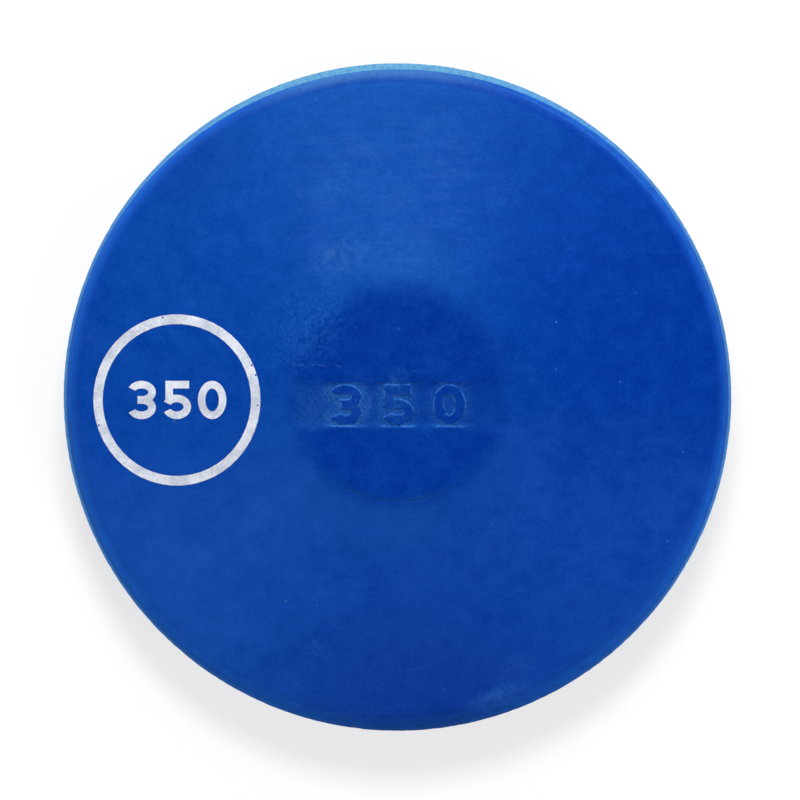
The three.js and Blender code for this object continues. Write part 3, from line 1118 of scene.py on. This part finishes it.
ink_film("printed_ring_ink", whole_oval(ring_radius, ring_radius, ring_line), "printed_ring")
printed_number = number_outlines(printed_height, printed_width, printed_stroke, printed_space)
for node_name, outlines in zip(("printed_three", "printed_five", "printed_zero"), printed_number):
    ink_film(node_name + "_ink", outlines, node_name)


# Stage
# A plain white floor in a pale room whose walls are brightest beyond the number's top. A soft
# lamp stands there too, with a weaker one to the lower left and one to the lower right.

floor_size = 30.0
floor_white = (0.35, 0.35, 0.35, 1)
floor_lift = 0.70
wall_level = 1.05
wall_lean = 0.85
ceiling_level = 0.075
ceiling_range = (0.3, 0.6)

half = floor_size / 2
floor_mesh = bpy.data.meshes.new("floor")
floor_corners = [(-half, -half, 0), (half, -half, 0), (half, half, 0), (-half, half, 0)]
floor_mesh.from_pydata(floor_corners, [], [(0, 1, 2, 3)])
floor = show("floor", floor_mesh)
floor_material = bpy.data.materials.new("white floor")
floor_material.use_nodes = True
tree = floor_material.node_tree
tree.nodes.clear()
path = add_node(tree, "ShaderNodeLightPath").outputs
seen = calc(tree, "MAXIMUM", path["Is Camera Ray"], path["Is Glossy Ray"])
seen = calc(tree, "MAXIMUM", seen, path["Is Transmission Ray"])
matt = add_node(tree, "ShaderNodeBsdfDiffuse", {"Color": floor_white}).outputs[0]
glow = add_node(tree, "ShaderNodeEmission", {"Strength": product(tree, seen, floor_lift)}).outputs[0]
both = add_node(tree, "ShaderNodeAddShader", {0: matt, 1: glow}).outputs[0]
add_node(tree, "ShaderNodeOutputMaterial", {"Surface": both})
floor_mesh.materials.append(floor_material)

world = bpy.data.worlds.new("studio")
bpy.context.scene.world = world
world.use_nodes = True
tree = world.node_tree
direction = add_node(tree, "ShaderNodeTexCoord").outputs["Generated"]
_, beyond, rise = add_node(tree, "ShaderNodeSeparateXYZ", {"Vector": direction}).outputs
wall = calc(tree, "MULTIPLY_ADD", beyond, wall_level * wall_lean, wall_level)
values = {0: ramp(tree, rise, *ceiling_range), 2: wall, 3: ceiling_level}
strength = add_node(tree, "ShaderNodeMix", values).outputs[0]
tree.links.new(strength, tree.nodes["Background"].inputs["Strength"])
tree.nodes["Background"].inputs["Color"].default_value = (1, 1, 1, 1)

# Each lamp's azimuth and elevation in degrees, distance, share of full light, width and height.
softboxes = {
    "top_softbox": (89, 55, 2.0, 0.57, 0.66, 0.53),
    "low_left_softbox": (225, 67, 1.2, 0.045, 0.3, 0.3),
    "low_right_softbox": (316, 51, 1.2, 0.10, 0.3, 0.3),
}


def softbox(name, azimuth, elevation, distance, share, width, height):
    """An area lamp that gives a level surface the stated share of full light. Azimuth is from
    the right of the number, turning towards its top."""
    level = math.cos(math.radians(elevation))
    x, y = level * math.cos(math.radians(azimuth)), level * math.sin(math.radians(azimuth))
    way = Vector((x, y, math.sin(math.radians(elevation))))
    lamp = bpy.data.lights.new(name, "AREA")
    lamp.shape = "RECTANGLE"
    lamp.size = width
    lamp.size_y = height
    # A surface square to it gets energy / (pi * distance) ** 2, and a level one way.z of that
    lamp.energy = share * math.pi ** 2 * distance ** 2 / way.z
    holder = bpy.data.objects.new(name, lamp)
    holder.location = way * distance
    holder.rotation_euler = way.to_track_quat("Z", "Y").to_euler()
    holder.visible_camera = False
    bpy.context.scene.collection.objects.link(holder)


for lamp_name, lamp_values in softboxes.items():
    softbox(lamp_name, *lamp_values)


# Camera
# It looks straight down on the number from far off, so that the disc shows almost without
# perspective. The disc's width and its middle in the picture, in pixels, set the field.

disc_pixels = 667.8
image_pixels = 800
centre_pixel = (397.5, 397.0)
camera_distance = 6.0
sensor_width = 36.0

metres_per_pixel = 2 * outer_radius / disc_pixels
camera = bpy.data.cameras.new("camera")
camera.sensor_width = sensor_width
camera.lens = sensor_width * camera_distance / (metres_per_pixel * image_pixels)
camera_object = bpy.data.objects.new("camera", camera)
camera_object.location = (
    (image_pixels / 2 - centre_pixel[0]) * metres_per_pixel,
    (centre_pixel[1] - image_pixels / 2) * metres_per_pixel,
    parting_height + camera_distance,
)
bpy.context.scene.collection.objects.link(camera_object)
bpy.context.scene.camera = camera_object
bpy.context.scene.view_settings.view_transform = "Standard"
